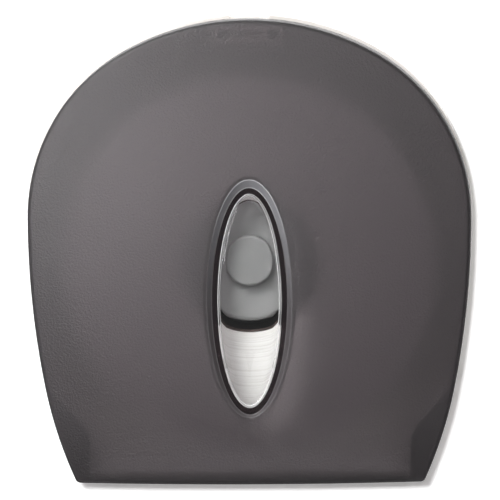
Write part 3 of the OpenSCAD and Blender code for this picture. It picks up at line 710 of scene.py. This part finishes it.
# Polished smoke, its colour painted far deeper than the face's: painted shade.
smoked_gloss_painted_shade = smoked("smoked_gloss_painted_shade", (0.035, 0.026, 0.029), painted_shade_smoke, 0.08, 0.3, 0.0, 0.3)
# The recess slope has a painted sheen, and its rounded edges a painted highlight, both lightest at the
# top.
smoked_slope_painted_sheen = painted_sheen_finish("smoked_slope_painted_sheen", (0.085, 0.076, 0.080), (0.30, 0.30, 0.32),
                             -0.060, 0.036)
smoked_ridge_painted_highlight = painted_sheen_finish("smoked_ridge_painted_highlight", (0.14, 0.13, 0.135), (0.60, 0.60, 0.62), -0.010, 0.036)
# The outermost edge: near-black smoke with little gloss, painted shade.
smoked_edge_painted_shade = smoked("smoked_edge_painted_shade", (0.038, 0.031, 0.034), painted_shade_smoke, 0.5, 0.4, 0.0, 0.1)
cover_finishes = [smoked_plastic, smoked_gloss_painted_shade, smoked_slope_painted_sheen, smoked_ridge_painted_highlight, smoked_edge_painted_shade]
cover_only.objects.link(piece("cover_shell", cover, cover_finishes, "cover",
                              ["front_cover"]))


# ---- Inside of the cover ---------------------------------------------------------------------------
# Moulded in one with the cover: the two pockets that house the hinge, with the lugs that turn on its
# pins, the bosses for the latch case's screws, and the flat seat of the tear bar.

pocket_t = 2.0
pocket_corner = -117.47
pocket_round = 7.0
slope_way = toward(47.4)
plate_front = 94.0
sunk = 0.4


def thicken(bm, way):
    """Makes a solid of flat faces, as thick as way is long."""
    made = bmesh.ops.extrude_face_region(bm, geom=bm.faces[:])["geom"]
    bmesh.ops.translate(bm, verts=[g for g in made if isinstance(g, bmesh.types.BMVert)],
                        vec=Vector(way) * mm)


def mirrored_copy(bm):
    """Adds the same shape on the other side of the middle."""
    bmesh.ops.mirror(bm, geom=bm.verts[:] + bm.edges[:] + bm.faces[:], matrix=Matrix.Identity(4),
                     merge_dist=0, axis="X")
    bmesh.ops.recalc_face_normals(bm, faces=bm.faces)


# Pocket walls: a line that runs up and then out to the side, with a soft bend, drawn forward to the
# inside of the face.
wall_gap = 0.6
reach = 0.0
while (Vector((lug_near, pocket_corner)) + slope_way * reach - foot_c).length < (
        foot_r - cover_t - wall_gap):
    reach += 0.25
bm = bmesh.new()
low = bm.verts.new(place_at(lug_near, -cover_bottom + cover_t, cover_back))
bend = bm.verts.new(place_at(lug_near, pocket_corner, cover_back))
high = bm.verts.new(place_at(lug_near + slope_way.x * reach, pocket_corner + slope_way.y * reach,
                             cover_back))
bm.edges.new((low, bend))
bm.edges.new((bend, high))
bmesh.ops.bevel(bm, geom=[bend], offset=pocket_round * mm, offset_type="OFFSET", segments=8,
                profile=0.5, affect="VERTICES", material=-1)
bmesh.ops.subdivide_edges(bm, edges=[e for e in bm.edges if e.calc_length() > 5 * mm], cuts=5)


def drawn(v, depth):
    """The point at a depth, or at the inside of the face where none is given."""
    x, z = v.co.x / mm, v.co.z / mm
    return place_at(x, z, depth or face_at(x, z, cover_t - sunk))


line = bm.edges[:]
for forward in (100, 110, 120, None):
    line = grow(bm, line, drawn, forward)
bmesh.ops.recalc_face_normals(bm, faces=bm.faces)
if bm.faces[0].normal.x > 0:
    bmesh.ops.reverse_faces(bm, faces=bm.faces)
bmesh.ops.solidify(bm, geom=bm.faces[:], thickness=pocket_t * mm)
mirrored_copy(bm)
piece("pocket_walls", bm, [smoked_plastic], "cover", ["front_cover"])

# Plates that close the pockets behind.
bm, plate_home, plate_away = outline(cover_back)
for v in bm.verts:
    v.co = place_at(*(v[plate_home] - (cover_t - sunk) * v[plate_away]).xz, cover_back)
bmesh.ops.contextual_create(bm, geom=bm.edges[:])
for way in (Vector((-1, 0, 0)), Vector((-slope_way.y, 0, slope_way.x))):
    bmesh.ops.bisect_plane(bm, geom=bm.verts[:] + bm.edges[:] + bm.faces[:],
                           plane_co=place_at(lug_near, pocket_corner, cover_back), plane_no=way,
                           clear_outer=True)
thicken(bm, (0, cover_back - plate_front, 0))
mirrored_copy(bm)
piece("pocket_plates", bm, [smoked_gloss_painted_shade], "cover", ["front_cover"])

# Lugs: flat links, round at both ends, with a bore for the pin.
lug_r = 6
lug_reach = 2.2
lug_t = 4
bore_r = 2.6
pin_low, pin_high = cad_corners("hinge_pin_right")
hinge_y = (pin_low.y + pin_high.y) / 2
hinge_z = (pin_low.z + pin_high.z) / 2
bm = bmesh.new()
turn = Matrix.Translation(place_at(lug_near, hinge_z, -hinge_y)) @ Matrix.Rotation(math.pi / 2, 4, "Y")
link = bmesh.ops.create_circle(bm, cap_ends=False, radius=lug_r * mm, segments=48, matrix=turn)["verts"]
bmesh.ops.create_circle(bm, cap_ends=False, radius=bore_r * mm, segments=48, matrix=turn)
for v in link:
    if v.co.y < hinge_y * mm - 1e-6:
        v.co.y -= lug_reach * mm
bmesh.ops.bridge_loops(bm, edges=bm.edges[:])
thicken(bm, (lug_t, 0, 0))
mirrored_copy(bm)
piece("hinge_lugs", bm, [smoked_plastic], "cover", ["front_cover"])

# Bosses: round pegs that the latch case is screwed to.
screw_head_r = 2.4
case_wall = 1.6
case_low, case_high = cad_corners("lock_case")
boss_x = cad_corners("lock_case_screws")[1].x - screw_head_r
boss_z = (case_low.z + case_high.z) / 2
boss_back = -case_high.y + case_wall
boss_front = face_at(boss_x, boss_z, cover_t - sunk)
bm = bmesh.new()
turn = Matrix.Translation(place_at(boss_x, boss_z, (boss_back + boss_front) / 2))
bmesh.ops.create_cone(bm, cap_ends=True, segments=32, radius1=2.4 * mm, radius2=2.5 * mm,
                      depth=(boss_front - boss_back) * mm,
                      matrix=turn @ Matrix.Rotation(math.pi / 2, 4, "X"))
mirrored_copy(bm)
piece("case_bosses", bm, [smoked_plastic], "cover", ["front_cover"])

# Seat of the tear bar, inside the bottom of the cover.
foot_t = 1.5
bar_low, bar_high = cad_corners("tear_bar")
seat_under = -cover_bottom + foot_t
bm = bmesh.new()
bmesh.ops.create_cube(bm, size=1)
bmesh.ops.scale(bm, verts=bm.verts, vec=Vector((bar_high.x * 2, -bar_low.y - flange_back,
                                                bar_low.z - seat_under)) * mm)
bmesh.ops.translate(bm, verts=bm.verts, vec=place_at(0, (bar_low.z + seat_under) / 2,
                                                     (flange_back - bar_low.y) / 2))
bmesh.ops.bevel(bm, geom=bm.edges[:], offset=0.2 * mm, offset_type="OFFSET", segments=2, profile=0.5,
                affect="EDGES", material=-1)
piece("tear_bar_seat", bm, [smoked_plastic], "cover", ["front_cover"])


# ---- Lens ------------------------------------------------------------------------------------------
# The clear sight window: one clear moulding clipped into the cover from behind, with a raised rim.

lens = (19.4, 64.8, -37.4)
bm = bmesh.new()
bmesh.ops.create_circle(bm, cap_ends=False, radius=1, segments=160)
around = bm.verts.layers.float.new("around")
for v in bm.verts:
    v[around] = math.atan2(v.co.y, v.co.x)


def on_lens(v, inset, depth):
    """A point of the lens, inset from its edge, at a distance in front of the recess floor."""
    x = (lens[0] - inset) * math.cos(v[around])
    z = lens[2] + (lens[1] - inset) * math.sin(v[around])
    return place_at(x, z, floor_at(x, z) + depth)


for v in bm.verts:
    v.co = on_lens(v, 0, -2.6)
ring = start = bm.edges[:]
clear, painted_highlight_rim = range(2)

# The front, from the edge over the raised rim and in to the middle.
for inset, depth in ((0, 0.1), (0.08, 0.36), (0.26, 0.54), (0.5, 0.6), (1.15, 0.6), (1.4, 0.5),
                     (1.55, 0.3), (1.66, -0.3), (1.9, -0.45), (5, -0.45), (10, -0.45), (15, -0.45),
                     (19.3, -0.45)):
    # The rim's rounded faces take the finish with the painted highlight.
    slot = painted_highlight_rim if 0 < inset <= 0.5 or 1.15 < inset < 1.8 else clear
    ring = grow(bm, ring, on_lens, inset, depth, slot=slot)
bmesh.ops.contextual_create(bm, geom=ring)

# The back, out to the clip behind the cover and in to the middle.
ring = start
for inset, depth in ((-2.6, -2.75), (-2.6, -3.9), (1.2, -3.9), (1.4, -2.2), (5, -2.0), (10, -2.0),
                     (15, -2.0), (19.3, -2.0)):
    ring = grow(bm, ring, on_lens, inset, depth)
bmesh.ops.contextual_create(bm, geom=ring)
bmesh.ops.recalc_face_normals(bm, faces=bm.faces)


def clear_finish():
    made, shade = start_finish("clear_plastic")
    place = shade.node("TexCoord", out="Object")
    smear = shade.node("TexNoise", {"Vector": place, "Scale": 40.0, "Detail": 3.0})
    glass = shade.node("BsdfPrincipled", {
        "Base Color": (0.97, 0.975, 0.98, 1), "Roughness": 0.01 + smear * 0.03, "IOR": 1.47,
        "Transmission Weight": 1.0})
    show_clear(shade, glass, (0.96, 0.96, 0.96))
    return made


def rim_painted_highlight_finish():
    """The lens's rounded rim, its highlight lines painted as a white matt finish: whitest round the
    lower tip, and clearer at the two snap tabs above it."""
    made, shade = start_finish("clear_rim_painted_highlight")
    place = shade.node("TexCoord", out="Object")
    height = shade.node("SeparateXYZ", {0: place}, out="Z")
    tip = 1 - height.band(-0.0912, -0.0902)
    over_tab_foot = height.band(-0.0782, -0.0774)
    tab = over_tab_foot * (1 - height.band(-0.0727, -0.0719))
    fine = shade.node("TexNoise", {"Vector": place, "Scale": 500.0, "Detail": 3.0})
    painted_highlight = (0.45 + fine * 0.3 + (1 - over_tab_foot) * 0.2) * (1 - tab * 0.8) + tip * 0.4
    white = shade.node("BsdfPrincipled", {"Base Color": (0.95, 0.95, 0.95, 1), "Roughness": 0.3})
    glass = shade.node("BsdfPrincipled", {
        "Base Color": (0.97, 0.975, 0.98, 1), "Roughness": 0.08, "IOR": 1.47,
        "Transmission Weight": 1.0})
    show_clear(shade, shade.node("MixShader", {0: painted_highlight, 1: glass, 2: white}), (0.8, 0.8, 0.8))
    return made


piece("lens", bm, [clear_finish(), rim_painted_highlight_finish()], "cover", ["window_lens"])
